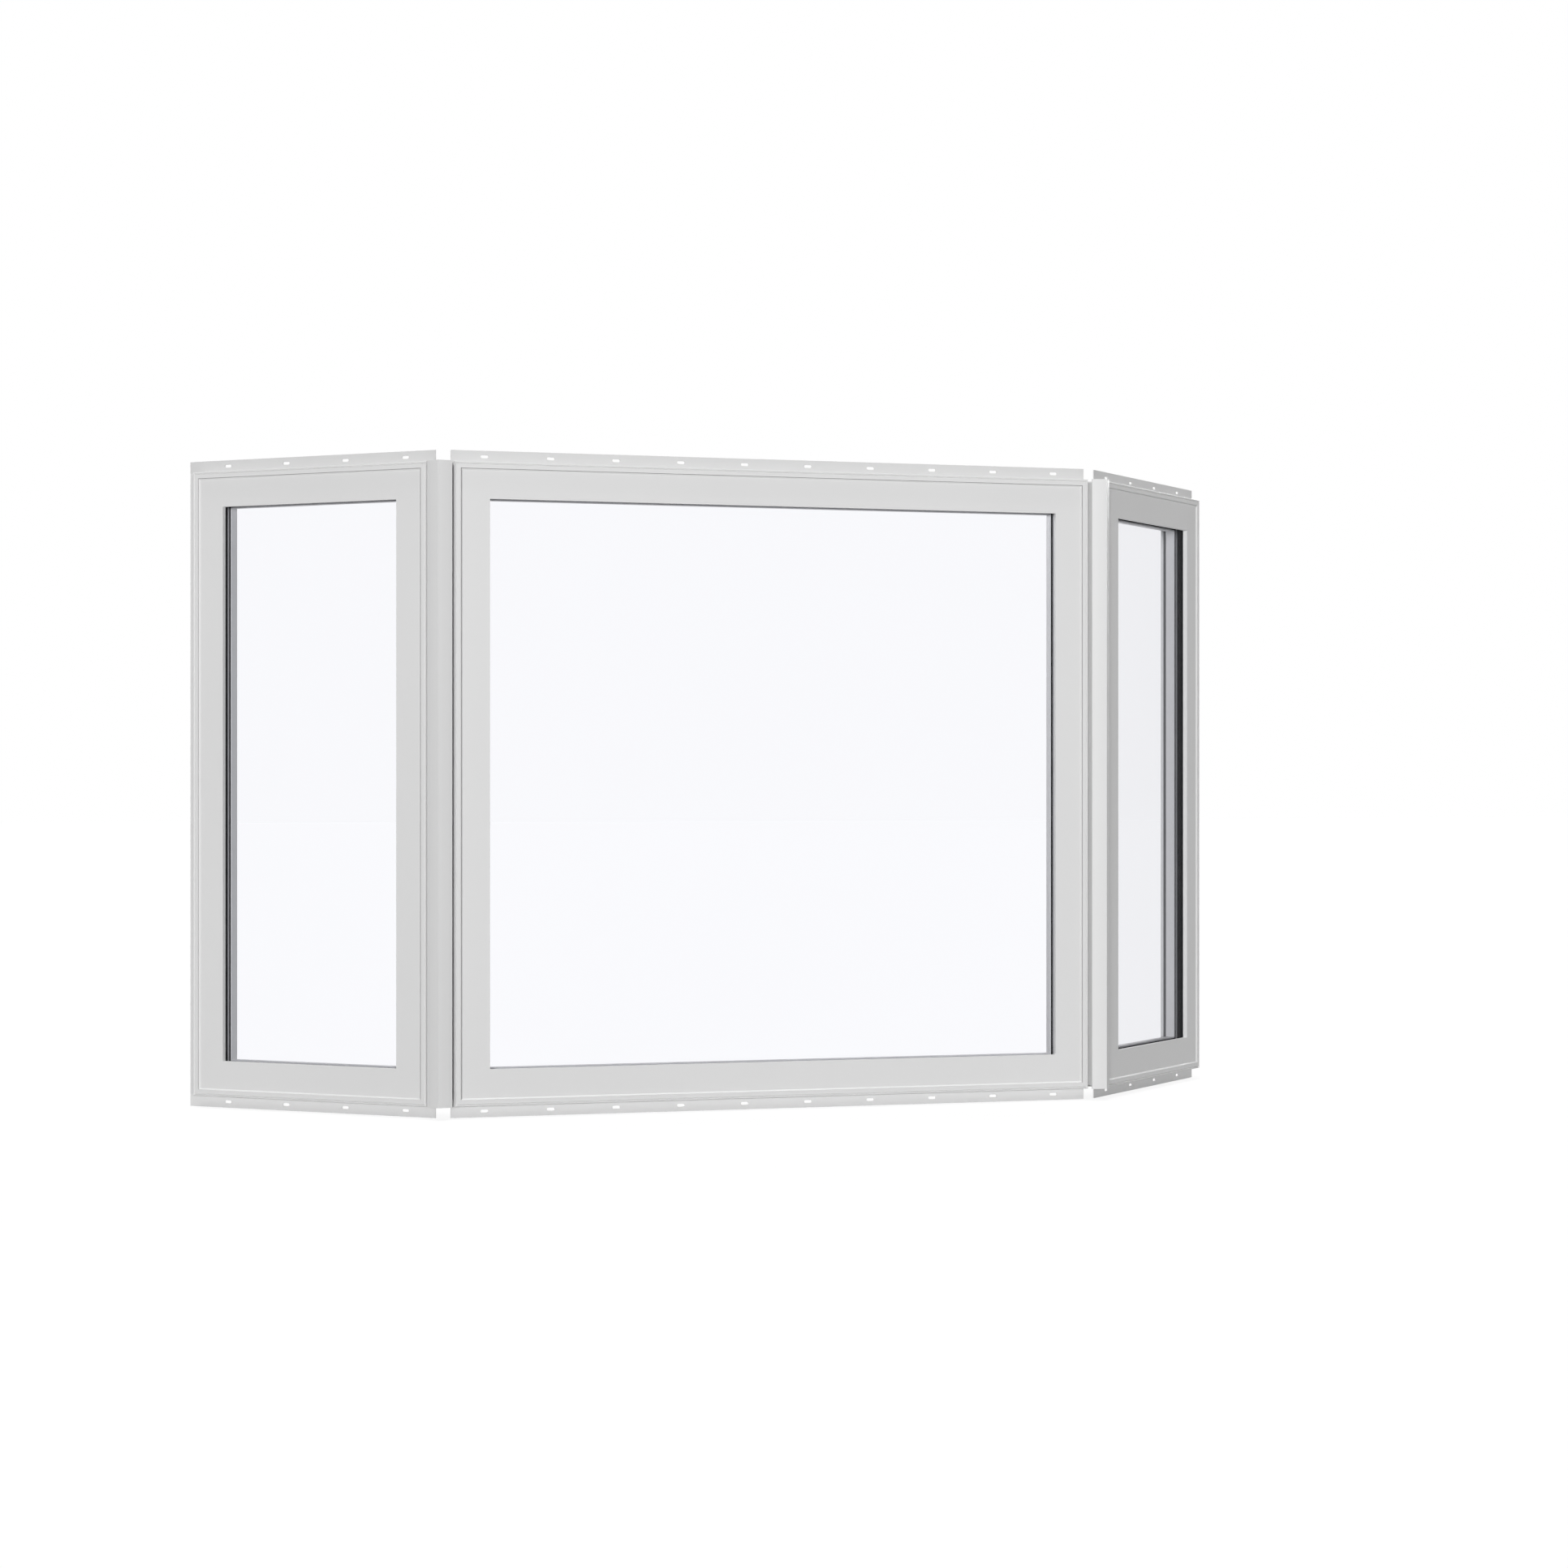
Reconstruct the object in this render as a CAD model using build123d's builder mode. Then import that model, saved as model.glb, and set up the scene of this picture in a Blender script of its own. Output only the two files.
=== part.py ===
"""Three-unit 45 degree bay window: a fixed centre unit between two casement units.

Millimetres. X runs along the centre unit, left to right as seen from outside. The
outside is towards -Y, the room towards +Y, and +Z is up. The origin is the middle
of the footprint, at the level of the lowest edges of the sill nail fins.

Within a unit, u is the distance in from the frame's outer edge and d is the depth
behind the unit's front face. Every member's section is drawn in u and d.
"""
from build123d import *
from math import cos, radians, sin, tan
import os

# ---------------------------------------------------------------- overall sizes
CENTRE_WIDTH = 1524.0        # frame width of the fixed centre unit
FLANKER_WIDTH = 635.0        # frame width of each casement unit
FRAME_HEIGHT = 1434.0        # frame height, all three units
FRAME_DEPTH = 80.0           # front face to room face
BAY_ANGLE = 45.0             # turn from the centre unit to a flanker
BACK_GAP = 1.0               # between neighbouring frames at their room corners

# ---------------------------------------------------------------- frame section
EDGE_CHAMFER_WIDTH = 1.6     # chamfer on the outer front corner
EDGE_CHAMFER_DEPTH = 3.2
BEAD_WIDTH = 3.0             # outer edge to the start of the accessory groove
GROOVE_INNER = 1.8           # groove wall that faces the glass
GROOVE_OUTER = 1.6           # groove wall that faces away from the glass
GROOVE_DEPTH = 1.8
LIP_WIDTH = 15.0             # outer edge to the end of the flat front lip
FRAME_LEG_HEIGHT = 66.0      # how far the room-side leg stands in from the edge
FRAME_LEG_THICK = 8.0        # thickness of that leg at its tip
LEG_ROOT_HEIGHT = 57.0       # height of the thicker root behind the sash
LEG_CHAMFER = 3.0            # chamfered tip corner on the room side

# ----------------------------------------------------------------- sash section
SIDE_CLEARANCE = 1.3         # frame to sash at both sides
HEAD_CLEARANCE = 0.8         # frame to sash at the head
SILL_CLEARANCE = 0.2         # frame to sash at the sill, where the sash rests
SASH_EDGE_DEPTH = 0.5        # the sash's outer edge, behind the frame's front lip
SASH_FACE_DEPTH = 3.3        # the sash's flat face, behind the frame's front lip
SASH_BEVEL_WIDTH = 3.1       # bevel from that edge down to that face
SASH_BACK = 60.0             # depth of the sash's room face
SIGHT_LINE = 82.0            # outer frame edge to the visible glass
STOP_THICK = 10.5            # outer glazing leg, the reveal in front of the glass
POCKET_FLOOR = 65.0          # bottom of the glazing pocket
LEG_ROOT_GAP = 1.0           # sash room face to the root of the frame leg

# --------------------------------------------------------------------- glazing
GLASS_EDGE = 66.5            # outer frame edge to the edge of the panes
PANE_THICK = 3.0
SPACER_DEPTH = 15.0          # air space between the panes
SPACER_HEIGHT = 6.5
SPACER_INSET = 1.0           # spacer behind the edge of the panes
TAPE_THICK = 1.0             # black glazing tape and gasket
TAPE_MARGIN = 2.0            # tape and gasket stop short of the sight line
GASKET_WIDTH = 3.7           # room-side gasket under the nose of the bead
BEAD_PROUD = 1.2             # how far the room-side beads cover the glass
BEAD_NOSE = 2.5              # chamfer on the room-side nose of a bead

# -------------------------------------------------------------------- nail fins
FIN_SETBACK = 32.0           # front face to the front of the fin
FIN_THICK = 2.0
FIN_HEIGHT = 27.0            # head and sill fins beyond the frame
WALL_FIN_WIDTH = 30.0        # jamb fin beyond the frame, at the wall
FLANKER_FIN_OVERHANG = 3.0   # head and sill fins past the frame at the corner posts
CENTRE_FIN_OVERHANG = 1.0
FIN_TONGUE = 4.0             # tongue seated in the frame's kerf
FIN_FIT = 0.2                # clearance round the tongue
FIN_JOINT = 0.3              # gap where two fins meet at a wall corner
SLOT_LENGTH = 18.0
SLOT_WIDTH = 6.4
SLOT_PITCH = 152.4           # nominal spacing of the nailing slots
SLOT_END = 76.2              # first slot from the frame's corner
SLOT_FROM_EDGE = 13.5        # slot centre line from the fin's free edge

# ----------------------------------------------------------------- corner posts
COVER_HALF_WIDTH = 28.0      # V-nosed cover outside each corner
COVER_STANDOFF = 10.0        # edges of the cover in front of the frames' corners
COVER_ANGLE = 35.0           # each facet from square to the corner's bisector
COVER_BULGE = 0.9            # crown of each facet
COVER_WALL = 2.2
CORE_SHORT = 7.0             # core ends below the frame's top, and above its bottom
CORE_SHOULDER = 25.0         # depth where the core meets the frames' sides
CORE_FIT = 0.3
TRIM_LEG = 20.0              # room-side corner trim on each frame
TRIM_THICK = 4.0

# ----------------------------------------------------------- casement hardware
OPERATOR_LENGTH = 120.0
OPERATOR_HEIGHT = 30.0
OPERATOR_DEPTH = 15.0
OPERATOR_RADIUS = 6.0
CRANK_LENGTH = 92.0          # folded handle along the operator
CRANK_WIDTH = 14.0
CRANK_THICK = 7.0
KNOB_DIAMETER = 16.0
KNOB_LENGTH = 12.0
LOCK_LENGTH = 110.0
LOCK_WIDTH = 22.0
LOCK_THICK = 7.0
LEVER_LENGTH = 70.0
LEVER_WIDTH = 12.0
LEVER_THICK = 8.0
HARDWARE_LINE = 42.0         # hardware centre line in from the frame's outer edge

# -------------------------------------------------------------- derived places
HALF_TURN = BAY_ANGLE / 2
CORNER_CHORD = BACK_GAP + 2 * FRAME_DEPTH * sin(radians(HALF_TURN))
FLANKER_START = Vector(
    CENTRE_WIDTH / 2 + CORNER_CHORD * cos(radians(HALF_TURN)),
    CORNER_CHORD * sin(radians(HALF_TURN)),
    0,
)
COVER_RISE = COVER_HALF_WIDTH * tan(radians(COVER_ANGLE))
CORNER_MID = Vector((CENTRE_WIDTH / 2 + FLANKER_START.X) / 2, FLANKER_START.Y / 2, 0)
NOSE_REACH = COVER_STANDOFF + COVER_RISE
FRONT_Y = CORNER_MID.Y - NOSE_REACH * cos(radians(HALF_TURN))
BACK_Y = (FLANKER_START.Y + FLANKER_WIDTH * sin(radians(BAY_ANGLE))
          + FRAME_DEPTH * cos(radians(BAY_ANGLE)))
SHIFT = Vector(0, -(FRONT_Y + BACK_Y) / 2, FIN_HEIGHT)

STOP_BACK = SASH_FACE_DEPTH + STOP_THICK
GLASS_FRONT = STOP_BACK + TAPE_THICK
SPACER_FRONT = GLASS_FRONT + PANE_THICK
INNER_PANE_FRONT = SPACER_FRONT + SPACER_DEPTH
INNER_PANE_BACK = INNER_PANE_FRONT + PANE_THICK
BEAD_FRONT = INNER_PANE_BACK + TAPE_THICK
LEG_FRONT = FRAME_DEPTH - FRAME_LEG_THICK

UP = Vector(0, 0, 1)
os.makedirs("parts", exist_ok=True)


def save(name, part):
    part.label = name
    export_step(part, f"parts/{name}.step")


# ------------------------------------------------------------- units and sides
def unit_plane(start, turn):
    """Front face of a unit: x along it, y up, z outwards, from its lower left corner."""
    along = Vector(cos(radians(turn)), sin(radians(turn)), 0)
    return Plane(origin=start + SHIFT, x_dir=along, z_dir=along.cross(UP))


def side_plane(front, width, side):
    """The unit's plane turned so that x runs along one side and y points inwards."""
    x, y = front.x_dir, front.y_dir
    corner, along = {
        "sill": (Vector(0, 0, 0), x),
        "right": (x * width, y),
        "head": (x * width + y * FRAME_HEIGHT, x * -1),
        "left": (y * FRAME_HEIGHT, y * -1),
    }[side]
    return Plane(origin=front.origin + corner, x_dir=along, z_dir=front.z_dir)


def side_length(width, side):
    return width if side in ("sill", "head") else FRAME_HEIGHT


def section_plane(side):
    """Where a side's section is drawn: x is u, y is minus d, and z runs along it."""
    return Plane(origin=side.origin, x_dir=side.y_dir, z_dir=side.x_dir)


def mitred(section, side, length):
    """Extrude a section along one side and cut both its ends at 45 degrees.

    The section is a closed outline of (u, d) points.
    """
    far = side.origin + side.x_dir * length
    with BuildPart() as member:
        with BuildSketch(section_plane(side)):
            with BuildLine():
                Polyline(*[(u, -d) for u, d in section], close=True)
            make_face()
        extrude(amount=length)
        split(bisect_by=Plane(origin=side.origin, z_dir=side.x_dir - side.y_dir))
        split(bisect_by=Plane(origin=far, z_dir=side.x_dir * -1 - side.y_dir))
    return member.part


# -------------------------------------------------------------------- sections
def frame_section(has_fin):
    groove_start = BEAD_WIDTH
    groove_bottom = groove_start + GROOVE_INNER
    groove_end = groove_bottom + GROOVE_OUTER
    kerf_front = FIN_SETBACK - FIN_FIT
    kerf_back = FIN_SETBACK + FIN_THICK + FIN_FIT
    kerf_floor = FIN_TONGUE + FIN_FIT
    kerf = [(0, kerf_back), (kerf_floor, kerf_back), (kerf_floor, kerf_front), (0, kerf_front)]
    return [
        (0, EDGE_CHAMFER_DEPTH),
        (EDGE_CHAMFER_WIDTH, 0),
        (groove_start, 0),
        (groove_bottom, GROOVE_DEPTH),
        (groove_end, 0),
        (LIP_WIDTH, 0),
        (LIP_WIDTH, SASH_BACK + LEG_ROOT_GAP),
        (LEG_ROOT_HEIGHT, SASH_BACK + LEG_ROOT_GAP),
        (LEG_ROOT_HEIGHT, LEG_FRONT),
        (FRAME_LEG_HEIGHT, LEG_FRONT),
        (FRAME_LEG_HEIGHT, FRAME_DEPTH - LEG_CHAMFER),
        (FRAME_LEG_HEIGHT - LEG_CHAMFER, FRAME_DEPTH),
        (0, FRAME_DEPTH),
    ] + (kerf if has_fin else [])


def sash_section(side):
    clearance = {"sill": SILL_CLEARANCE, "head": HEAD_CLEARANCE}.get(side, SIDE_CLEARANCE)
    start = LIP_WIDTH + clearance
    return [
        (start, SASH_EDGE_DEPTH),
        (start + SASH_BEVEL_WIDTH, SASH_FACE_DEPTH),
        (SIGHT_LINE, SASH_FACE_DEPTH),
        (SIGHT_LINE, STOP_BACK),
        (POCKET_FLOOR, STOP_BACK),
        (POCKET_FLOOR, SASH_BACK),
        (start, SASH_BACK),
    ]


def bead_section():
    top = SIGHT_LINE + BEAD_PROUD
    return [
        (POCKET_FLOOR, BEAD_FRONT),
        (top, BEAD_FRONT),
        (top, SASH_BACK - BEAD_NOSE),
        (top - BEAD_NOSE, SASH_BACK),
        (POCKET_FLOOR, SASH_BACK),
    ]


# ------------------------------------------------- frames, sashes, beads, seals
def rectangle_at(front, width, inset, depth):
    """A sketch plane at the unit's middle, and the size left inside an inset."""
    middle = front.x_dir * (width / 2) + front.y_dir * (FRAME_HEIGHT / 2)
    plane = Plane(
        origin=front.origin + middle - front.z_dir * depth,
        x_dir=front.x_dir,
        z_dir=front.z_dir,
    )
    return plane, width - 2 * inset, FRAME_HEIGHT - 2 * inset


def ring(front, width, outer, inner, depth, thickness):
    """A flat rectangular ring between two insets."""
    plane, wide, high = rectangle_at(front, width, outer, depth)
    rim = 2 * (inner - outer)
    with BuildPart() as loop:
        with BuildSketch(plane):
            Rectangle(wide, high)
            Rectangle(wide - rim, high - rim, mode=Mode.SUBTRACT)
        extrude(amount=-thickness)
    return loop.part


def build_frame(name, front, width, fin_sides, sides):
    for side, label in sides.items():
        plane = side_plane(front, width, side)
        length = side_length(width, side)
        member = mitred(frame_section(side in fin_sides), plane, length)
        save(f"{name}_frame_{label}", member)


def build_sash(name, front, width, sides):
    for side, label in sides.items():
        plane = side_plane(front, width, side)
        member = mitred(sash_section(side), plane, side_length(width, side))
        save(f"{name}_sash_{label}", member)


def build_glass(name, front, width):
    with BuildPart() as glass:
        for depth in (GLASS_FRONT, INNER_PANE_FRONT):
            plane, wide, high = rectangle_at(front, width, GLASS_EDGE, depth)
            with BuildSketch(plane):
                Rectangle(wide, high)
            extrude(amount=-PANE_THICK)
    save(f"{name}_glass", glass.part)


def build_spacer(name, front, width):
    start = GLASS_EDGE + SPACER_INSET
    save(f"{name}_spacer",
         ring(front, width, start, start + SPACER_HEIGHT, SPACER_FRONT, SPACER_DEPTH))


def build_beads(name, front, width):
    with BuildPart() as beads:
        for side in ("sill", "right", "head", "left"):
            plane = side_plane(front, width, side)
            add(mitred(bead_section(), plane, side_length(width, side)))
    save(f"{name}_glazing_beads", beads.part)


def build_seals(name, front, width):
    """Outer glazing tape, room-side gasket and the weather seal behind the sash."""
    tape_top = SIGHT_LINE - TAPE_MARGIN
    weather_thick = LEG_FRONT - SASH_BACK
    with BuildPart() as seals:
        add(ring(front, width, GLASS_EDGE, tape_top, STOP_BACK, TAPE_THICK))
        add(ring(front, width, tape_top - GASKET_WIDTH, tape_top, INNER_PANE_BACK, TAPE_THICK))
        add(ring(front, width, LEG_ROOT_HEIGHT, FRAME_LEG_HEIGHT, SASH_BACK, weather_thick))
    save(f"{name}_seals", seals.part)


# -------------------------------------------------------------------- nail fins
def slot_places(length):
    """Slot centres along a side: both ends fixed, the rest evenly spaced."""
    span = length - 2 * SLOT_END
    steps = max(1, round(span / SLOT_PITCH))
    return [SLOT_END + span * k / steps for k in range(steps + 1)]


def build_fin(name, side, length, height, start, end):
    """A fin on one side. start and end are how far it runs past the frame."""
    back = side.origin - side.z_dir * (FIN_SETBACK + FIN_THICK)
    plane = Plane(origin=back, x_dir=side.x_dir, z_dir=side.z_dir)
    with BuildPart() as fin:
        with BuildSketch(plane):
            with Locations(((length + end - start) / 2, -height / 2)):
                Rectangle(length + start + end, height)
            with Locations((length / 2, FIN_TONGUE / 2)):
                Rectangle(length - 4 * FIN_TONGUE, FIN_TONGUE)
            with Locations(*[(x, SLOT_FROM_EDGE - height) for x in slot_places(length)]):
                SlotOverall(SLOT_LENGTH, SLOT_WIDTH, mode=Mode.SUBTRACT)
        extrude(amount=FIN_THICK)
    save(name, fin.part)


def build_fins(name, front, width, wall_side):
    """Head and sill fins, and a jamb fin on the side that meets the wall."""
    overhang = FLANKER_FIN_OVERHANG if wall_side else CENTRE_FIN_OVERHANG
    reach = {"left": overhang, "right": overhang}
    if wall_side:
        reach[wall_side] = WALL_FIN_WIDTH
    sill = side_plane(front, width, "sill")
    head = side_plane(front, width, "head")
    build_fin(f"{name}_sill_fin", sill, width, FIN_HEIGHT, reach["left"], reach["right"])
    build_fin(f"{name}_head_fin", head, width, FIN_HEIGHT, reach["right"], reach["left"])
    if wall_side:
        wall = side_plane(front, width, wall_side)
        build_fin(f"{name}_wall_fin", wall, FRAME_HEIGHT, WALL_FIN_WIDTH,
                  -FIN_JOINT, -FIN_JOINT)


# ----------------------------------------------------------------- corner posts
def corner_plane(side, z):
    """Middle of the chord between two frames' front corners, y towards the room."""
    turn = radians(HALF_TURN) * side
    middle = Vector(CORNER_MID.X * side, CORNER_MID.Y, 0)
    return Plane(origin=middle + SHIFT + UP * z, x_dir=(cos(turn), sin(turn), 0), z_dir=UP)


def gap_half_width(depth):
    """Half the room between the two frames' sides, at a depth behind the chord."""
    return CORNER_CHORD / 2 - depth * tan(radians(HALF_TURN))


def build_core(name, side):
    """Wedge post between the frames, narrowing forwards to carry the cover."""
    back = FRAME_DEPTH * cos(radians(HALF_TURN))
    shoulder = gap_half_width(CORE_SHOULDER) - CORE_FIT
    heel = gap_half_width(back) - CORE_FIT
    front = -(COVER_STANDOFF - COVER_WALL)
    nose = shoulder - (CORE_SHOULDER - front) * tan(radians(HALF_TURN))
    right = [(nose, front), (shoulder, CORE_SHOULDER), (heel, back)]
    left = [(-x, y) for x, y in reversed(right)]
    with BuildPart() as core:
        with BuildSketch(corner_plane(side, CORE_SHORT)):
            with BuildLine():
                Polyline(*right, *left, close=True)
            make_face()
        extrude(amount=FRAME_HEIGHT - 2 * CORE_SHORT)
    save(name, core.part)


def build_cover(name, side):
    """Hollow V-nosed cover with two slightly crowned facets."""
    edge, base = COVER_HALF_WIDTH, -COVER_STANDOFF
    tip = base - COVER_RISE
    turn = radians(COVER_ANGLE)
    crown = Vector(sin(turn), -cos(turn)) * COVER_BULGE
    right_mid = (edge / 2 + crown.X, (base + tip) / 2 + crown.Y)
    left_mid = (-right_mid[0], right_mid[1])
    web = base + COVER_WALL
    with BuildPart() as cover:
        with BuildSketch(corner_plane(side, 0)):
            with BuildLine():
                ThreePointArc((-edge, base), left_mid, (0, tip))
                ThreePointArc((0, tip), right_mid, (edge, base))
                Polyline((edge, base), (edge, web), (-edge, web), (-edge, base))
            make_face()
            offset(amount=-COVER_WALL, mode=Mode.SUBTRACT)
        extrude(amount=FRAME_HEIGHT)
    save(name, cover.part)


def build_trim(name, side):
    """Angle trim over the joint on the room side."""
    back = FRAME_DEPTH * cos(radians(HALF_TURN))
    turn = radians(HALF_TURN)
    heel = gap_half_width(back)
    slope = Vector(cos(turn), sin(turn))
    square = Vector(-sin(turn), cos(turn))
    inner = Vector(heel, back)
    points = [
        inner,
        inner + slope * TRIM_LEG,
        inner + slope * TRIM_LEG + square * (TRIM_THICK / 2),
        inner + slope * (TRIM_LEG - TRIM_THICK) + square * TRIM_THICK,
        Vector(0, back + TRIM_THICK / cos(turn)),
    ]
    right = [(p.X, p.Y) for p in points]
    left = [(-x, y) for x, y in reversed(right[:-1])]
    with BuildPart() as trim:
        with BuildSketch(corner_plane(side, 0)):
            with BuildLine():
                Polyline(*right, *left, close=True)
            make_face()
        extrude(amount=FRAME_HEIGHT)
    save(name, trim.part)


# ----------------------------------------------------------- casement hardware
def room_face(front, along, up):
    """A plane on a frame's room face, facing the room, at a place on the unit."""
    place = front.origin + front.x_dir * along + front.y_dir * up
    return Plane(
        origin=place - front.z_dir * FRAME_DEPTH,
        x_dir=front.x_dir,
        z_dir=front.z_dir * -1,
    )


def build_operator(name, front, hinge_side):
    """Crank operator on the frame's sill, its handle folded towards the hinge side."""
    plane = room_face(front, FLANKER_WIDTH / 2, HARDWARE_LINE)
    towards = {"left": -1, "right": 1}[hinge_side]
    knob_place = towards * (CRANK_LENGTH - CRANK_WIDTH) / 2
    with BuildPart() as operator:
        with BuildSketch(plane):
            RectangleRounded(OPERATOR_LENGTH, OPERATOR_HEIGHT, OPERATOR_RADIUS)
        extrude(amount=OPERATOR_DEPTH)
        chamfer(operator.faces().sort_by(Axis(plane.origin, plane.z_dir))[-1].edges(), 2)
        with BuildSketch(plane.offset(OPERATOR_DEPTH)):
            SlotOverall(CRANK_LENGTH, CRANK_WIDTH)
        extrude(amount=CRANK_THICK)
        with BuildSketch(plane.offset(OPERATOR_DEPTH + CRANK_THICK)):
            with Locations((knob_place, 0)):
                Circle(KNOB_DIAMETER / 2)
        extrude(amount=KNOB_LENGTH)
    save(name, operator.part)


def build_lock(name, front, along):
    """Sash lock on the corner jamb, with its lever turned down."""
    plane = room_face(front, along, FRAME_HEIGHT / 2)
    lever_drop = (LEVER_LENGTH - LEVER_WIDTH) / 2
    with BuildPart() as lock:
        with BuildSketch(plane):
            RectangleRounded(LOCK_WIDTH, LOCK_LENGTH, LOCK_WIDTH / 4)
        extrude(amount=LOCK_THICK)
        with BuildSketch(plane.offset(LOCK_THICK)):
            Circle(LEVER_WIDTH * 0.75)
            with Locations((0, lever_drop)):
                SlotOverall(LEVER_LENGTH, LEVER_WIDTH, rotation=90)
        extrude(amount=LEVER_THICK)
    save(name, lock.part)


# --------------------------------------------------------------------- assembly
LEFT_SIDES = {"sill": "sill", "right": "corner_jamb", "head": "head", "left": "wall_jamb"}
RIGHT_SIDES = {"sill": "sill", "right": "wall_jamb", "head": "head", "left": "corner_jamb"}
CENTRE_SIDES = {"sill": "sill", "right": "right_jamb", "head": "head", "left": "left_jamb"}
SASH_WORDS = {"sill": "bottom_rail", "head": "top_rail"}

left_along = Vector(cos(radians(BAY_ANGLE)), -sin(radians(BAY_ANGLE)), 0)
left_corner = Vector(-FLANKER_START.X, FLANKER_START.Y, 0) - left_along * FLANKER_WIDTH

UNITS = {
    "left": (left_corner, -BAY_ANGLE, FLANKER_WIDTH, "left", LEFT_SIDES),
    "centre": (Vector(-CENTRE_WIDTH / 2, 0, 0), 0, CENTRE_WIDTH, None, CENTRE_SIDES),
    "right": (FLANKER_START, BAY_ANGLE, FLANKER_WIDTH, "right", RIGHT_SIDES),
}

for unit, (start, turn, width, wall_side, sides) in UNITS.items():
    front = unit_plane(start, turn)
    fin_sides = ("sill", "head", wall_side)
    sash_sides = {
        side: SASH_WORDS.get(side, label.replace("jamb", "stile"))
        for side, label in sides.items()
    }
    build_frame(unit, front, width, fin_sides, sides)
    build_sash(unit, front, width, sash_sides)
    build_glass(unit, front, width)
    build_spacer(unit, front, width)
    build_seals(unit, front, width)
    build_beads(unit, front, width)
    build_fins(unit, front, width, wall_side)
    if wall_side:
        build_operator(f"{unit}_crank_operator", front, wall_side)
        corner_line = HARDWARE_LINE if wall_side == "right" else width - HARDWARE_LINE
        build_lock(f"{unit}_sash_lock", front, corner_line)

for side, word in ((-1, "left"), (1, "right")):
    build_core(f"{word}_post_core", side)
    build_cover(f"{word}_post_cover", side)
    build_trim(f"{word}_corner_trim", side)
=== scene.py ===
"""Looks for the bay window: materials, fine hardware, floor, light and camera.

Metres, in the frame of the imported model: the outside faces -Y, the room is +Y, up is +Z.
"""
from math import cos, pi, radians, sin

import bmesh
import bpy
from mathutils import Matrix, Vector


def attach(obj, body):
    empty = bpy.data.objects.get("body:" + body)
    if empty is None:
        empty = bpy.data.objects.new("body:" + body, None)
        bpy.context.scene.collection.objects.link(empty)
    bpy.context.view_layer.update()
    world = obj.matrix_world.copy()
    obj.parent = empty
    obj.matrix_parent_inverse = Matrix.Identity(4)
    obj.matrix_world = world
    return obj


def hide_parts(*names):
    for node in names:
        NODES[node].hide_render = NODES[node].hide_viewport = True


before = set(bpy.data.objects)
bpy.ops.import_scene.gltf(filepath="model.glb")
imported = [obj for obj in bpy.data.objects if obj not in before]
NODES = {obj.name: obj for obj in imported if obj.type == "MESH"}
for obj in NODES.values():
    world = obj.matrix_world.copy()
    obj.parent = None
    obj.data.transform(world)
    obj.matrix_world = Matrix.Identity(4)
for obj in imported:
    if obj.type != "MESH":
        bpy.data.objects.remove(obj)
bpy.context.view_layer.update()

BAY_TURN = {"left": -45.0, "centre": 0.0, "right": 45.0}    # degrees that each unit is turned


def unit_axes(unit):
    """A unit's own axes in the frame: along its width, down, and into the room."""
    turn = radians(BAY_TURN[unit])
    return (Vector((cos(turn), sin(turn), 0)), Vector((0, 0, -1)),
            Vector((-sin(turn), cos(turn), 0)))


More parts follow.
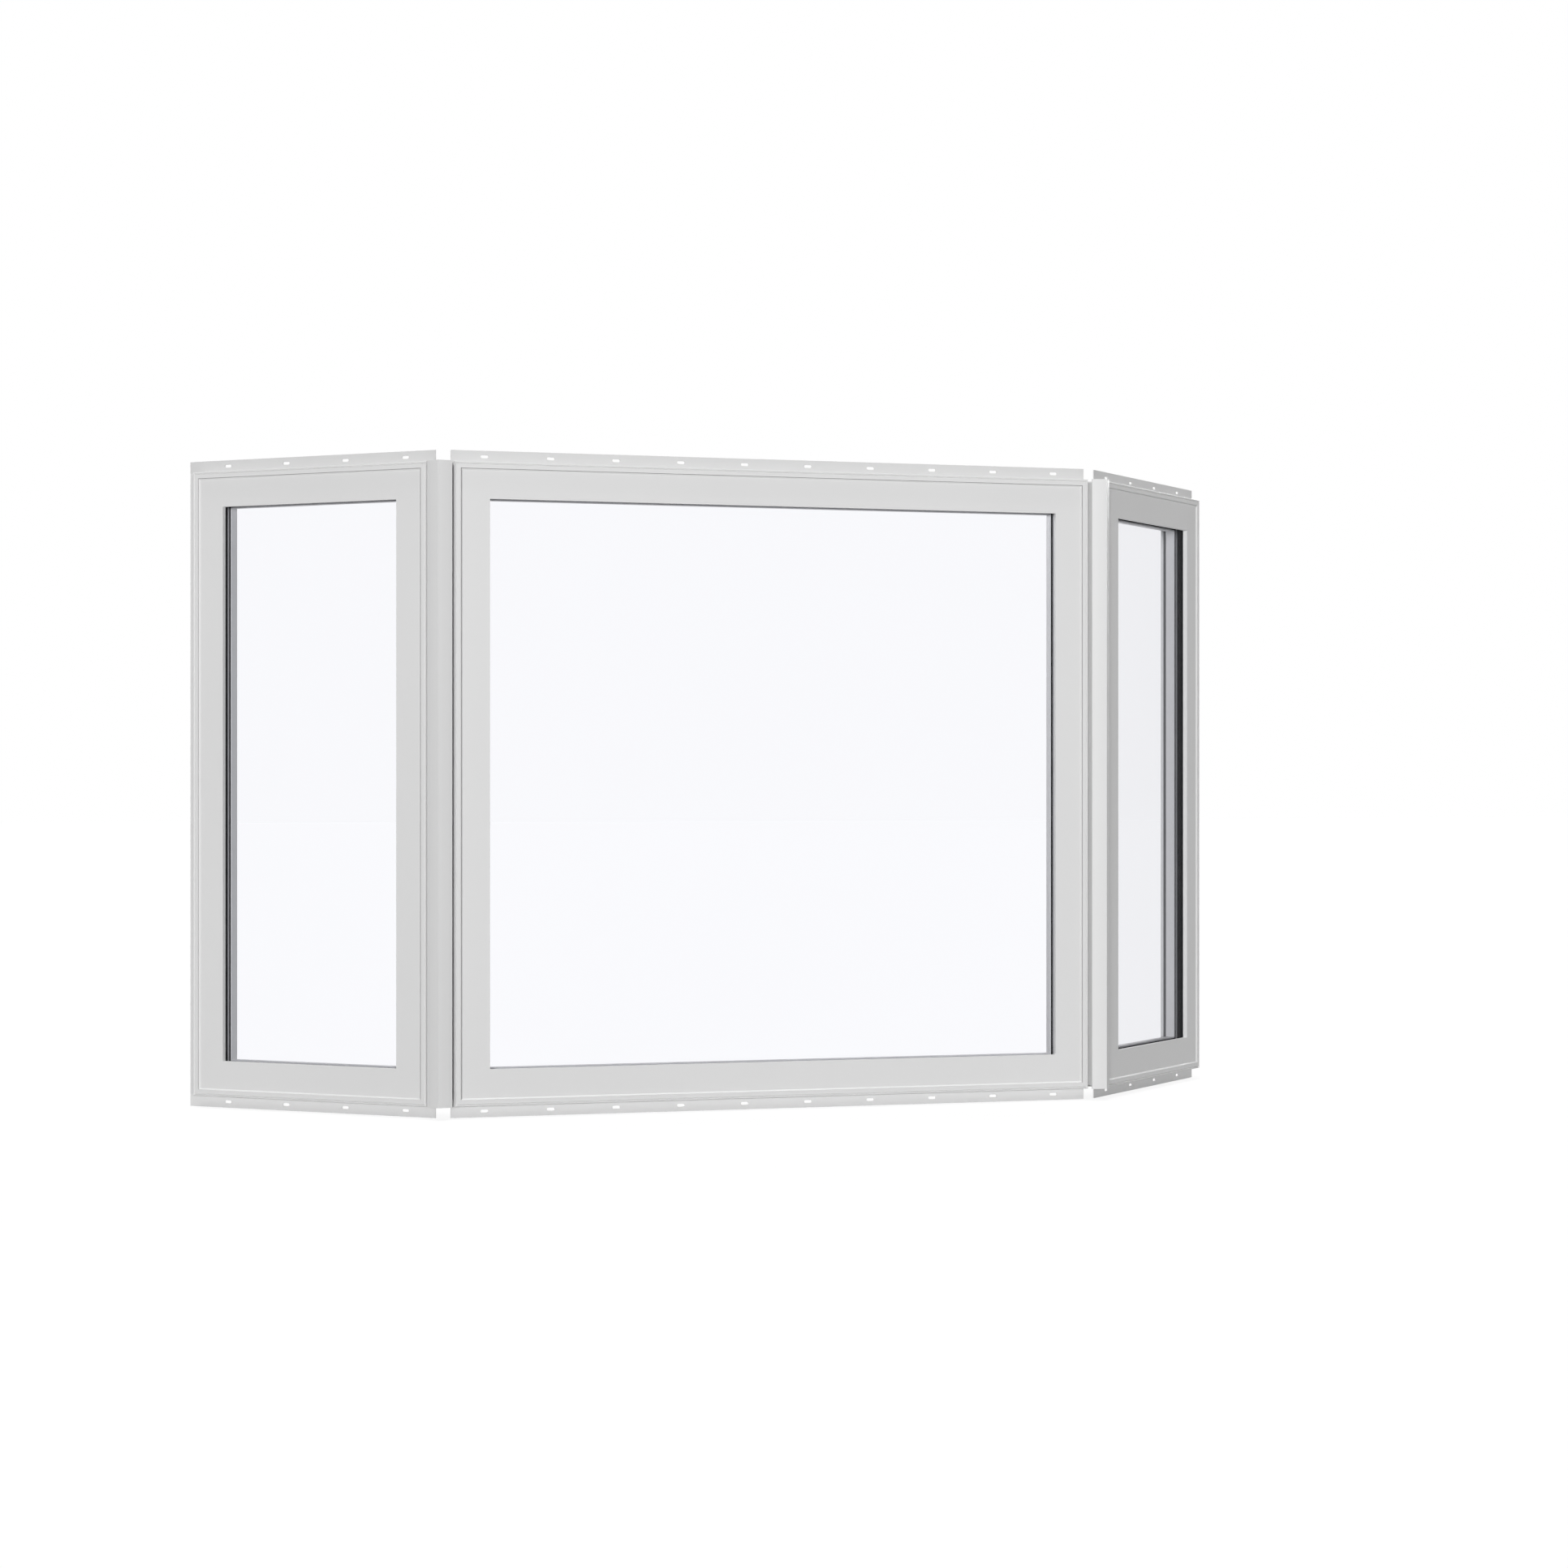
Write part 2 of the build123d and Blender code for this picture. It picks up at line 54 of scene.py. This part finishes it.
# ------------------------------------------------------------------------- nodes
class Nodes:
    """The node tree of a material or world, with short calls for adding and linking."""

    def __init__(self, owner, output="ShaderNodeOutputMaterial"):
        owner.use_nodes = True
        self.owner = owner
        self.tree = owner.node_tree
        self.tree.nodes.clear()
        self.output = self.tree.nodes.new(output)

    def add(self, kind, inputs=None, **settings):
        """A new node. An input is a number, a colour or another node's output socket."""
        node = self.tree.nodes.new(kind)
        for key, value in settings.items():
            setattr(node, key, value)
        for key, value in (inputs or {}).items():
            self.put(value, node.inputs[key])
        return node

    def put(self, value, socket):
        if isinstance(value, bpy.types.NodeSocket):
            self.tree.links.new(value, socket)
        else:
            socket.default_value = value

    def maths(self, operation, first, second):
        return self.add("ShaderNodeMath", {0: first, 1: second}, operation=operation).outputs[0]

    def blend(self, share, first, second):
        """The first shader, with a share of the second."""
        inputs = {0: share, 1: first.outputs[0], 2: second.outputs[0]}
        return self.add("ShaderNodeMixShader", inputs)

    def noise(self, vector, scale, detail):
        inputs = {"Vector": vector, "Scale": scale, "Detail": detail}
        return self.add("ShaderNodeTexNoise", inputs).outputs["Fac"]

    def ranged(self, value, low, high):
        """A noise value, which lies mostly from 0.3 to 0.7, moved to a range."""
        inputs = {"Value": value, "From Min": 0.3, "From Max": 0.7, "To Min": low, "To Max": high}
        return self.add("ShaderNodeMapRange", inputs).outputs["Result"]

    def place(self, turn=0.0, scale=(1, 1, 1)):
        """Object coordinates, turned about Z and then scaled."""
        coordinates = self.add("ShaderNodeTexCoord").outputs["Object"]
        turned_about_z = self.add("ShaderNodeMapping",
                                  {"Vector": coordinates, "Rotation": (0, 0, radians(-turn))})
        inputs = {"Vector": turned_about_z.outputs["Vector"], "Scale": scale}
        return self.add("ShaderNodeMapping", inputs).outputs["Vector"]

    def tinted(self, colour, factor):
        """A colour multiplied by a grey factor from a socket."""
        grey_factor = self.add("ShaderNodeCombineColor",
                               {"Red": factor, "Green": factor, "Blue": factor}).outputs["Color"]
        mix = self.add("ShaderNodeMix", {"Factor": 1.0}, data_type="RGBA", blend_type="MULTIPLY")
        self.put(colour, mix.inputs["A"])
        self.put(grey_factor, mix.inputs["B"])
        return mix.outputs["Result"]

    def in_view(self):
        """1 for a ray that shows in the picture, straight, mirrored or through glass, else 0."""
        path = self.add("ShaderNodeLightPath").outputs
        mirrored = self.maths("MAXIMUM", path["Is Camera Ray"], path["Is Glossy Ray"])
        return self.maths("MAXIMUM", mirrored, path["Is Transmission Ray"])

    def surface(self, shader):
        """Links the last shader to the output, and gives the material or world back."""
        self.put(shader.outputs[0], self.output.inputs["Surface"])
        return self.owner


def new_material(name):
    return Nodes(bpy.data.materials.new(name))


def grey(level, blue=0.0):
    """A grey, with so much more in its blue."""
    return (level, level, level + blue, 1)


# --------------------------------------------------------------------- materials
VINYL = grey(0.735)
HEAD_FIN_PAINTED_SHADE_GREY = grey(0.665)        # painted shade: a darker grey than the vinyl, to cancel the light that the frame's top throws on the head fins
SILL_FIN_PAINTED_LIGHT_GREY = grey(0.775)        # painted light: a lighter grey than the vinyl, to cancel the shade that the sills cast on the sill fins
DRAW_LINES, DRAW_STRETCH = 900.0, 0.006     # noise scale, and its scale along the bar
VINYL_GRAIN = 1400.0
CLOUD = 2.2
GLASS_TINT = (0.987, 0.988, 0.995, 1)
MIRROR_POWER, MIRROR_SHARE = 3.0, 0.13      # how the glass's mirror grows, and its most


def vinyl(name, turn, upright, colour=VINYL):
    """Extruded white vinyl: faint draw lines along the bar, fine satin grain, slight cloud."""
    nodes = new_material(name)
    stretch = (1, 1, DRAW_STRETCH) if upright else (DRAW_STRETCH, 1, 1)
    lines = nodes.noise(nodes.place(turn, stretch), DRAW_LINES, detail=1.0)
    grain = nodes.noise(nodes.place(), VINYL_GRAIN, detail=2.0)
    cloud = nodes.noise(nodes.place(), CLOUD, detail=3.0)
    bump = nodes.add("ShaderNodeBump", {"Height": nodes.maths("ADD", lines, grain),
                                        "Strength": 0.08, "Distance": 0.0001})
    return nodes.surface(nodes.add("ShaderNodeBsdfPrincipled", {
        "Base Color": nodes.tinted(colour, nodes.ranged(cloud, 0.985, 1.005)),
        "Roughness": nodes.ranged(cloud, 0.44, 0.52),
        "Specular IOR Level": 0.35,
        "Normal": bump.outputs["Normal"],
    }))


def speckled(name, colour, roughness, metallic=0.0, scale=700.0, spread=0.12, bump=0.1,
             specular=0.5):
    """A plain material with a fine mottled grain in its colour, gloss and surface."""
    nodes = new_material(name)
    grain = nodes.noise(nodes.place(), scale, detail=3.0)
    relief = nodes.add("ShaderNodeBump",
                       {"Height": grain, "Strength": bump, "Distance": 0.0002})
    return nodes.surface(nodes.add("ShaderNodeBsdfPrincipled", {
        "Base Color": nodes.tinted(colour, nodes.ranged(grain, 1 - spread, 1 + spread)),
        "Roughness": nodes.ranged(grain, roughness - 0.05, roughness + 0.05),
        "Metallic": metallic,
        "Specular IOR Level": specular,
        "Normal": relief.outputs["Normal"],
    }))


def glass():
    """Clear float glass: a slight tint at each face and a grey mirror that grows at a slant."""
    nodes = new_material("clear_glass")
    haze = nodes.noise(nodes.place(), 3.0, detail=2.0)
    through = nodes.add("ShaderNodeBsdfTransparent",
                        {"Color": nodes.tinted(GLASS_TINT, nodes.ranged(haze, 0.999, 1.0))})
    mirror = nodes.add("ShaderNodeBsdfGlossy", {"Color": grey(0.3, 0.01), "Roughness": 0.02})
    slant = nodes.add("ShaderNodeLayerWeight", {"Blend": 0.5}).outputs["Facing"]
    share = nodes.maths("MULTIPLY", nodes.maths("POWER", slant, MIRROR_POWER), MIRROR_SHARE)
    return nodes.surface(nodes.blend(share, through, mirror))


def level_vinyl(name, colour=VINYL):
    """Vinyl for the level bars, one for each unit, with its draw lines along the unit."""
    return {unit: vinyl(f"{name}_{unit}", turn, False, colour)
            for unit, turn in BAY_TURN.items()}


CLEAR = glass()
UPRIGHT = vinyl("vinyl_upright", 0.0, True)
LEVEL = level_vinyl("vinyl_level")
# painted shade: the head fins' vinyl is darker than the bars' to cancel the light that the
# frame's top throws on them
HEAD_FIN_PAINTED_SHADE = level_vinyl("vinyl_head_fin_painted_shade", HEAD_FIN_PAINTED_SHADE_GREY)
# painted light: the sill fins' vinyl is lighter than the bars' to cancel the shade that the sills
# cast on them
SILL_FIN_PAINTED_LIGHT = level_vinyl("vinyl_sill_fin_painted_light", SILL_FIN_PAINTED_LIGHT_GREY)
BLACK_SPACER = speckled("black_spacer", grey(0.016, 0.001), 0.6, specular=0.08)
GREY_SPACER = speckled("grey_spacer", grey(0.22, 0.005), 0.5, metallic=0.4)
RUBBER = speckled("gasket_rubber", grey(0.02, 0.001), 0.75, scale=1500.0, bump=0.3,
                  specular=0.08)
WEATHER_SEAL = speckled("grey_weather_seal", grey(0.16, 0.003), 0.7, scale=1500.0,
                        bump=0.3, specular=0.2)
ENAMEL = speckled("white_enamel", grey(0.72, -0.01), 0.35, scale=1100.0, spread=0.01)
STEEL = speckled("steel_screw", grey(0.52, 0.01), 0.32, metallic=1.0, scale=2600.0,
                 spread=0.05)

SMALL_PARTS = {"glass": CLEAR, "seals": RUBBER, "crank_operator": ENAMEL, "sash_lock": ENAMEL}
LEVEL_PARTS = (("head_fin", HEAD_FIN_PAINTED_SHADE), ("sill_fin", SILL_FIN_PAINTED_LIGHT), ("head", LEVEL),
               ("sill", LEVEL), ("rail", LEVEL))


def finish_of(node):
    """The material of a CAD node, whose name is its unit and its part."""
    unit, _, part = node.partition("_")
    if part == "spacer":
        return GREY_SPACER if unit == "centre" else BLACK_SPACER
    if part in SMALL_PARTS:
        return SMALL_PARTS[part]
    for word, finishes in LEVEL_PARTS:
        if word in part:
            return finishes[unit]
    return UPRIGHT


SEAL_SPLIT = 0.7        # how deep the weather seal starts, as a share of the seals' depth


def colour_weather_seal(unit):
    """The seal behind the sash, the deepest of the seals, is grey; the others stay black."""
    mesh = NODES[f"{unit}_seals"].data
    inwards = unit_axes(unit)[2]
    depths = [inwards.dot(polygon.center) for polygon in mesh.polygons]
    split = min(depths) + SEAL_SPLIT * (max(depths) - min(depths))
    mesh.materials.append(WEATHER_SEAL)
    for polygon, depth in zip(mesh.polygons, depths):
        polygon.material_index = 1 if depth > split else 0


for node_name, node_object in NODES.items():
    node_object.data.materials.clear()
    node_object.data.materials.append(finish_of(node_name))
for unit_name in BAY_TURN:
    colour_weather_seal(unit_name)


# -------------------------------------------------- window hardware, in millimetres
MM = 0.001
ROUND = 48                  # points round a loop
LEAST_CORNER = 2.0          # the smallest corner radius of a domed shape
SMOOTH, SMOOTH_KNOB = 35.0, 60.0            # edges sharper than this many degrees stay sharp

# Plates and covers: width, height, corner radius, and (inset, height) pairs on the way up.
OPERATOR_FLANGE = (120.0, 30.0, 6.0, ((0, 0), (0, 2.0), (0.3, 2.7), (1.0, 3.0)))
OPERATOR_COVER = (100.0, 27.0, 9.0, ((0, 2.5), (0.3, 6.0), (1.0, 9.0), (2.3, 11.6),
                                     (4.2, 13.6), (6.4, 14.7), (8.4, 15.0)))
LOCK_PLATE = (22.0, 110.0, 6.0, ((0, 0), (0, 2.6), (0.4, 3.6), (1.3, 4.2), (2.4, 4.4)))
LOCK_OVAL = (20.0, 46.0, 9.0, ((0, 3.8), (0.3, 5.2), (1.0, 6.3), (2.2, 7.0)))

# Turned shapes: (radius, height) pairs on the way up.
OPERATOR_HUB = ((7.4, 13.0), (7.2, 15.6), (6.6, 16.0), (6.0, 16.0))
ARM_HUB = ((6.6, 15.8), (7.0, 16.2), (7.0, 20.6), (6.4, 21.5), (5.2, 21.9), (3.0, 22.0))
KNOB = ((3.6, 19.5), (3.6, 22.4), (4.4, 23.2), (6.4, 24.6), (7.7, 26.6), (8.0, 28.8),
        (7.6, 31.2), (6.3, 32.9), (4.3, 33.8), (2.0, 34.0))
LOCK_HUB = ((7.6, 6.6), (8.2, 7.2), (8.2, 11.6), (7.4, 12.8), (5.6, 13.5), (3.0, 13.7))

# Bars: widths, thicknesses and heights of the middle line, at the start, middle and end.
CRANK_ARM = ((13.0, 8.6, 10.6), (5.6, 4.6, 5.0), (18.8, 19.4, 18.4))
LEVER = ((13.0, 9.0, 11.6), (5.6, 4.6, 4.4), (10.6, 10.2, 12.4))
BAR_STEPS = 24
BAR_CORNER = 0.7            # power of the bar's section: 1 is an ellipse, less is squarer

CRANK_REACH = 39.0          # operator's middle to the hub, and to the knob
CRANK_PAST_KNOB = 5.0
LEVER_START, LEVER_LENGTH = -2.0, 64.0      # from the lock's hub
LOCK_DROP = -4.5            # the lever hangs below the plate, so the node's middle is lower

SCREW_RADIUS, SCREW_RISE, CROSS_DEPTH = 3.1, 0.7, 0.2
SCREW_TOP, CROSS_ARM, CROSS_HALF = 0.8, 0.58, 0.15          # shares of the screw's radius
OPERATOR_SCREW_INSET, OPERATOR_SCREW_LEVEL = 5.6, 2.9
LOCK_SCREW_INSET, LOCK_SCREW_LEVEL = 8.5, 4.3


def seat(node, unit):
    """From a piece's own axes, x along the unit, y down and z into the room, to the frame.

    The origin is the middle of the CAD node's back, on the frame's room face.
    """
    axes = unit_axes(unit)
    points = [vertex.co for vertex in NODES[node].data.vertices]
    spans = [sorted(axis.dot(point) for point in points) for axis in axes]
    places = ((spans[0][0] + spans[0][-1]) / 2, (spans[1][0] + spans[1][-1]) / 2, spans[2][0])
    matrix = Matrix(axes).transposed().to_4x4()
    matrix.translation = sum((axis * place for axis, place in zip(axes, places)), Vector())
    return matrix


def rounded_loop(width, height, radius, level, centre):
    """Points round a rectangle with rounded corners, anticlockwise, at a height."""
    points = []
    steps = ROUND // 4
    for corner, (right, top) in enumerate(((1, 1), (-1, 1), (-1, -1), (1, -1))):
        x, y = right * (width / 2 - radius), top * (height / 2 - radius)
        for step in range(steps):
            angle = (corner + step / (steps - 1)) * pi / 2
            points.append((centre[0] + x + radius * cos(angle),
                           centre[1] + y + radius * sin(angle), level))
    return points


def circle(radius, level, centre):
    return rounded_loop(2 * radius, 2 * radius, radius, level, centre)


def ring_of(bm, points):
    return [bm.verts.new(point) for point in points]


def walled(bm, lower, upper):
    """Faces between two rings with as many points."""
    count = len(lower)
    for i in range(count):
        j = (i + 1) % count
        bm.faces.new((lower[i], lower[j], upper[j], upper[i]))


def lofted(bm, loops):
    """A closed skin over a stack of loops, with flat ends."""
    rings = [ring_of(bm, loop) for loop in loops]
    for lower, upper in zip(rings, rings[1:]):
        walled(bm, lower, upper)
    bm.faces.new(reversed(rings[0]))
    bm.faces.new(rings[-1])


def turned(bm, profile, centre):
    """A turned shape from (radius, height) pairs, from its foot to its top."""
    lofted(bm, [circle(radius, level, centre) for radius, level in profile])


def domed(bm, shape, centre=(0.0, 0.0)):
    """A rounded plate or cover that steps in as it rises."""
    width, height, radius, steps = shape
    lofted(bm, [rounded_loop(width - 2 * inset, height - 2 * inset,
                             max(radius - inset, LEAST_CORNER), level, centre)
                for inset, level in steps])


def through_three(values, share):
    """A value that goes smoothly from the first through the middle to the last."""
    first, middle, last = values
    start, end = (first, middle) if share < 0.5 else (middle, last)
    part = share * 2 % 1 if share < 1 else 1
    return start + (end - start) * (1 - cos(pi * part)) / 2


def signed_power(value, power):
    return abs(value) ** power * (1 if value > 0 else -1)


def swept_bar(bm, shape, start, length, direction, centre):
    """A bar with rounded ends that starts so far along direction, in x and y, from centre."""
    widths, thicknesses, heights = shape
    along = Vector((direction[0], direction[1], 0))
    across = Vector((0, 0, 1)).cross(along)
    foot = Vector((centre[0], centre[1], 0))
    loops = []
    for step in range(BAR_STEPS + 1):
        share = step / BAR_STEPS
        width, thickness = through_three(widths, share), through_three(thicknesses, share)
        from_end = min(min(share, 1 - share) * length / (width / 2), 1)
        cap = max((1 - (1 - from_end) ** 2) ** 0.5, 0.12)       # narrows the bar at its ends
        middle = foot + along * (start + share * length)
        middle.z = through_three(heights, share)
        loop = []
        for i in range(ROUND // 2):
            angle = 2 * pi * i / (ROUND // 2)
            side = signed_power(cos(angle), BAR_CORNER) * width * cap / 2
            rise = signed_power(sin(angle), BAR_CORNER) * thickness * max(cap, 0.5) / 2
            loop.append(middle + across * side + Vector((0, 0, rise)))
        loops.append(loop)
    lofted(bm, loops)


def screw(bm, centre, level, turn):
    """A raised screw head with a cross recess, turned by so many degrees."""
    low = ring_of(bm, circle(SCREW_RADIUS, level, centre))
    top = ring_of(bm, circle(SCREW_RADIUS * SCREW_TOP, level + SCREW_RISE, centre))
    arm, half = SCREW_RADIUS * CROSS_ARM, SCREW_RADIUS * CROSS_HALF
    cross = ((arm, -half), (arm, half), (half, half), (half, arm), (-half, arm), (-half, half),
             (-arm, half), (-arm, -half), (-half, -half), (-half, -arm), (half, -arm),
             (half, -half))
    c, s = cos(radians(turn)), sin(radians(turn))
    spots = [(centre[0] + u * c - v * s, centre[1] + u * s + v * c) for u, v in cross]
    rim = ring_of(bm, [(x, y, level + SCREW_RISE) for x, y in spots])
    floor = ring_of(bm, [(x, y, level - CROSS_DEPTH) for x, y in spots])
    walled(bm, low, top)
    walled(bm, rim, floor)
    bm.faces.new(floor)
    bm.faces.new(reversed(low))
    edges = [bm.edges.get((loop[i], loop[(i + 1) % len(loop)]))
             for loop in (top, rim) for i in range(len(loop))]
    bmesh.ops.bridge_loops(bm, edges=edges)


def finished(bm, name, place, material, sharp=SMOOTH):
    """The mesh as an object at its place, smooth but for its sharp edges."""
    bmesh.ops.remove_doubles(bm, verts=bm.verts, dist=0.002)
    bmesh.ops.recalc_face_normals(bm, faces=bm.faces)
    bm.transform(place @ Matrix.Scale(MM, 4))
    mesh = bpy.data.meshes.new(name)
    bm.to_mesh(mesh)
    bm.free()
    mesh.materials.append(material)
    for polygon in mesh.polygons:
        polygon.use_smooth = True
    mesh.set_sharp_from_angle(angle=radians(sharp))
    piece = bpy.data.objects.new(name, mesh)
    bpy.context.collection.objects.link(piece)
    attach(piece, "root")
    return piece


def build_operator(unit, towards):
    """Crank operator: flange, domed cover, turned hub, folded arm with its knob, two screws.

    towards is the side of the hub on which the knob is folded down, -1 or 1.
    """
    node = f"{unit}_crank_operator"
    place = seat(node, unit)
    hub = (-towards * CRANK_REACH, 0.0)

    bm = bmesh.new()
    domed(bm, OPERATOR_FLANGE)
    domed(bm, OPERATOR_COVER)
    turned(bm, OPERATOR_HUB, hub)
    cover = finished(bm, f"{unit}_operator_cover", place, ENAMEL)
    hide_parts(node)

    bm = bmesh.new()
    turned(bm, ARM_HUB, hub)
    swept_bar(bm, CRANK_ARM, -CRANK_REACH, 2 * CRANK_REACH + CRANK_PAST_KNOB,
              (towards, 0.0), (0.0, 0.0))
    finished(bm, f"{unit}_crank_arm", place, ENAMEL)

    bm = bmesh.new()
    turned(bm, KNOB, (towards * CRANK_REACH, 0.0))
    finished(bm, f"{unit}_crank_knob", place, ENAMEL, SMOOTH_KNOB)

    bm = bmesh.new()
    reach = OPERATOR_FLANGE[0] / 2 - OPERATOR_SCREW_INSET
    for side, turn in ((-1, 15.0), (1, 62.0)):
        screw(bm, (side * reach, 0.0), OPERATOR_SCREW_LEVEL, turn)
    finished(bm, f"{unit}_operator_screws", place, STEEL)


def build_lock(unit):
    """Sash lock: plate with a raised oval, turned hub, curved lever and two screws."""
    node = f"{unit}_sash_lock"
    place = seat(node, unit)
    hub = (0.0, LOCK_DROP)

    bm = bmesh.new()
    domed(bm, LOCK_PLATE, hub)
    domed(bm, LOCK_OVAL, hub)
    body = finished(bm, f"{unit}_lock_plate", place, ENAMEL)
    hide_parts(node)

    bm = bmesh.new()
    turned(bm, LOCK_HUB, hub)
    swept_bar(bm, LEVER, LEVER_START, LEVER_LENGTH, (0.0, 1.0), hub)
    finished(bm, f"{unit}_lock_lever", place, ENAMEL)

    bm = bmesh.new()
    reach = LOCK_PLATE[1] / 2 - LOCK_SCREW_INSET
    for side, turn in ((-1, 33.0), (1, 8.0)):
        screw(bm, (0.0, LOCK_DROP + side * reach), LOCK_SCREW_LEVEL, turn)
    finished(bm, f"{unit}_lock_screws", place, STEEL)


for flanker, knob_side in (("left", -1), ("right", 1)):
    build_operator(flanker, knob_side)
    build_lock(flanker)


# ----------------------------------------------------------- floor, light, camera
FLOOR_SIZE = 120.0
FLOOR_DROP = 0.0005         # keeps the floor just under the object
FLOOR_SEEN = grey(0.8)      # the lit part of the floor as the camera sees it, for the shadow
FLOOR_GLOW, GLOW_SHARE = 1.08, 0.82         # the white part of it
FLOOR_BOUNCE = grey(0.525)  # the floor as it throws light back on the object
SKY = 0.03                  # even light from all round

# Name, azimuth from -Y round towards +X, elevation, strength and spread, angles in degrees.
LAMPS = (
    ("key_left", -28.0, 4.0, 1.455, 12.0),
    ("key_right", -6.0, 4.0, 0.915, 12.0),
    ("top", -19.0, 87.0, 2.0, 6.0),
    ("room_left", -160.0, 12.0, 0.9, 20.0),
    ("room_right", 140.0, 12.0, 1.3, 20.0),
)

# Fitted to the photograph's corners and edges, with the sensor's width standing for 1932 pixels.
LENS, SENSOR = 80.7311, 36.0
CAMERA_PLACE = (-2.50695, -7.89146, 0.744)
CAMERA_TURN = -0.318190     # radians about Z; the camera is level


def build_floor():
    """A pale floor: white where the picture shows it, but for the object's shadow."""
    bpy.ops.mesh.primitive_plane_add(size=FLOOR_SIZE, location=(0, 0, -FLOOR_DROP))
    floor = bpy.context.object
    floor.name = "floor"
    nodes = new_material("pale_floor")
    lit = nodes.add("ShaderNodeBsdfDiffuse", {"Color": FLOOR_SEEN})
    white = nodes.add("ShaderNodeEmission", {"Color": (1, 1, 1, 1), "Strength": FLOOR_GLOW})
    bounce = nodes.add("ShaderNodeBsdfDiffuse", {"Color": FLOOR_BOUNCE})
    seen = nodes.blend(GLOW_SHARE, lit, white)
    floor.data.materials.append(nodes.surface(nodes.blend(nodes.in_view(), bounce, seen)))


def build_world():
    """A dim even sky for light, and plain white where the picture shows it."""
    nodes = Nodes(bpy.data.worlds.new("studio"), "ShaderNodeOutputWorld")
    sky = nodes.add("ShaderNodeBackground", {"Color": (1, 1, 1, 1), "Strength": SKY})
    white = nodes.add("ShaderNodeBackground", {"Color": (1, 1, 1, 1), "Strength": 1.0})
    bpy.context.scene.world = nodes.surface(nodes.blend(nodes.in_view(), sky, white))


def build_lamp(name, azimuth, elevation, strength, spread):
    lamp = bpy.data.lights.new(name, "SUN")
    lamp.energy = strength
    lamp.angle = radians(spread)
    lamp_object = bpy.data.objects.new(name, lamp)
    bpy.context.collection.objects.link(lamp_object)
    a, e = radians(azimuth), radians(elevation)
    towards = Vector((sin(a) * cos(e), -cos(a) * cos(e), sin(e)))
    lamp_object.rotation_euler = towards.to_track_quat("Z", "Y").to_euler()


def build_camera():
    camera = bpy.data.cameras.new("camera")
    camera.lens = LENS
    camera.sensor_width = SENSOR
    camera_object = bpy.data.objects.new("camera", camera)
    bpy.context.collection.objects.link(camera_object)
    camera_object.location = CAMERA_PLACE
    camera_object.rotation_euler = (pi / 2, 0, CAMERA_TURN)
    bpy.context.scene.camera = camera_object


build_floor()
build_world()
for lamp_numbers in LAMPS:
    build_lamp(*lamp_numbers)
build_camera()
bpy.context.scene.view_settings.view_transform = "Standard"
